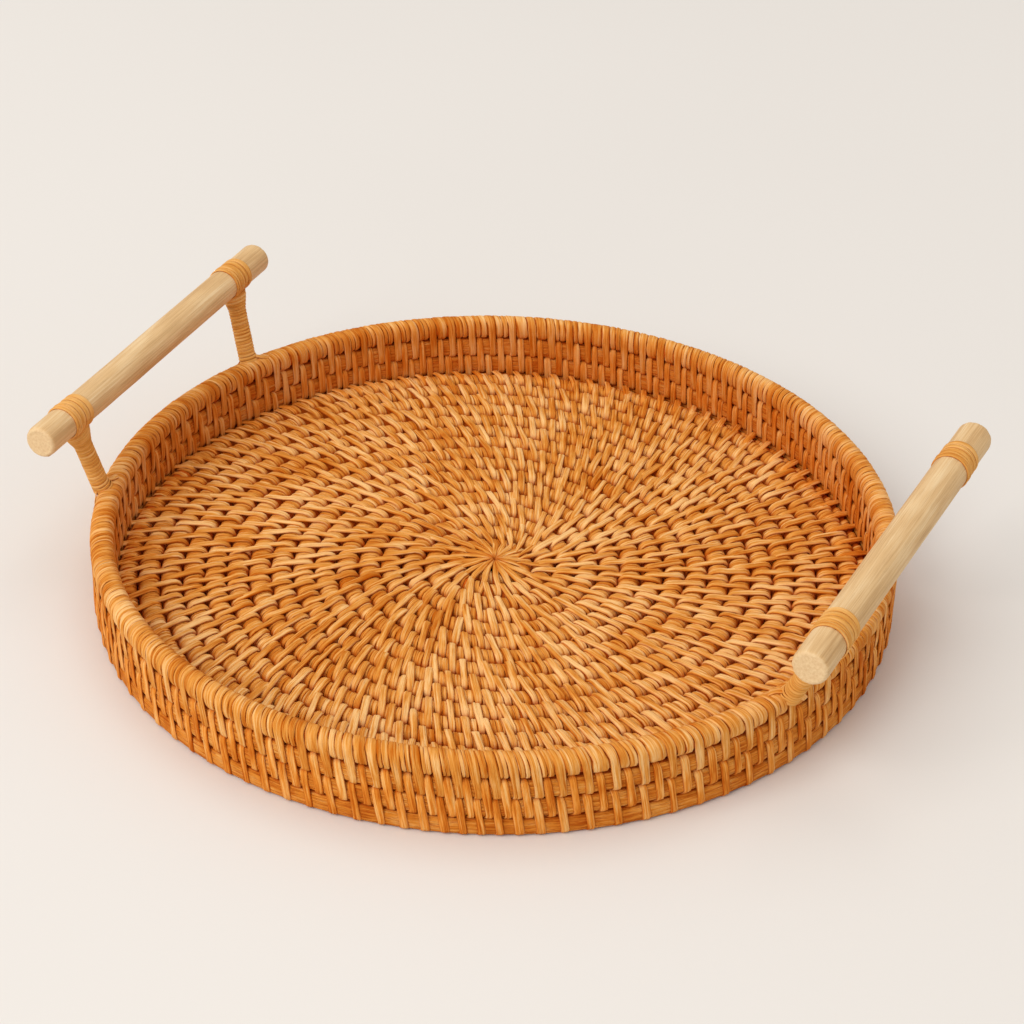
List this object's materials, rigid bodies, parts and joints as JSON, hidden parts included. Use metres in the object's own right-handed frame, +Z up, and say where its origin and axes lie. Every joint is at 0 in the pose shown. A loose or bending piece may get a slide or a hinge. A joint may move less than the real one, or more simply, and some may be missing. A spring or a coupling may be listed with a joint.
{
  "type": "serving tray",
  "caption": "Round coiled-rattan serving tray with a bound rim and two raised wooden bar handles lashed on short wrapped posts.",
  "frame": {"origin": "middle of the whole part, handles included, on the table surface; the round tray's own centre is 3.6 mm towards -X because one handle stands further out", "axes": "+Z up; X through the two handles; Y nearly along the handle bars"},
  "size_m": [0.3722, 0.35, 0.0834],
  "materials": {
    "rattan_cane": "matte",
    "rattan_peel": "satin",
    "bar_wood": "matte"
  },
  "bodies": {
    "root": {"centre_binding": "rattan_peel", "corner_row": "rattan_cane", "edge_binding": "rattan_peel", "floor_binding_01": "rattan_peel", "floor_binding_02": "rattan_peel", "floor_binding_03": "rattan_peel", "floor_binding_04": "rattan_peel", "floor_binding_05": "rattan_peel", "floor_binding_06": "rattan_peel", "floor_binding_07": "rattan_peel", "floor_binding_08": "rattan_peel", "floor_binding_09": "rattan_peel", "floor_binding_10": "rattan_peel", "floor_binding_11": "rattan_peel", "floor_binding_12": "rattan_peel", "floor_binding_13": "rattan_peel", "floor_binding_14": "rattan_peel", "floor_binding_15": "rattan_peel", "floor_binding_16": "rattan_peel", "floor_coil": "rattan_cane", "floor_coil_tail": "rattan_cane", "left_back_bar_lashing": "rattan_peel", "left_back_post": "rattan_cane", "left_back_post_wrap": "rattan_peel", "left_back_root_lashing": "rattan_peel", "left_front_bar_lashing": "rattan_peel", "left_front_post": "rattan_cane", "left_front_post_wrap": "rattan_peel", "left_front_root_lashing": "rattan_peel", "left_handle_bar": "bar_wood", "right_back_bar_lashing": "rattan_peel", "right_back_post": "rattan_cane", "right_back_post_wrap": "rattan_peel", "right_back_root_lashing": "rattan_peel", "right_front_bar_lashing": "rattan_peel", "right_front_post": "rattan_cane", "right_front_post_wrap": "rattan_peel", "right_front_root_lashing": "rattan_peel", "right_handle_bar": "bar_wood", "rim_cane": "rattan_cane", "rim_wraps": "rattan_peel", "wall_binding_lower": "rattan_peel", "wall_binding_middle": "rattan_peel", "wall_binding_upper": "rattan_peel", "wall_row_lower": "rattan_cane", "wall_row_upper": "rattan_cane"}
  },
  "joints": []
}
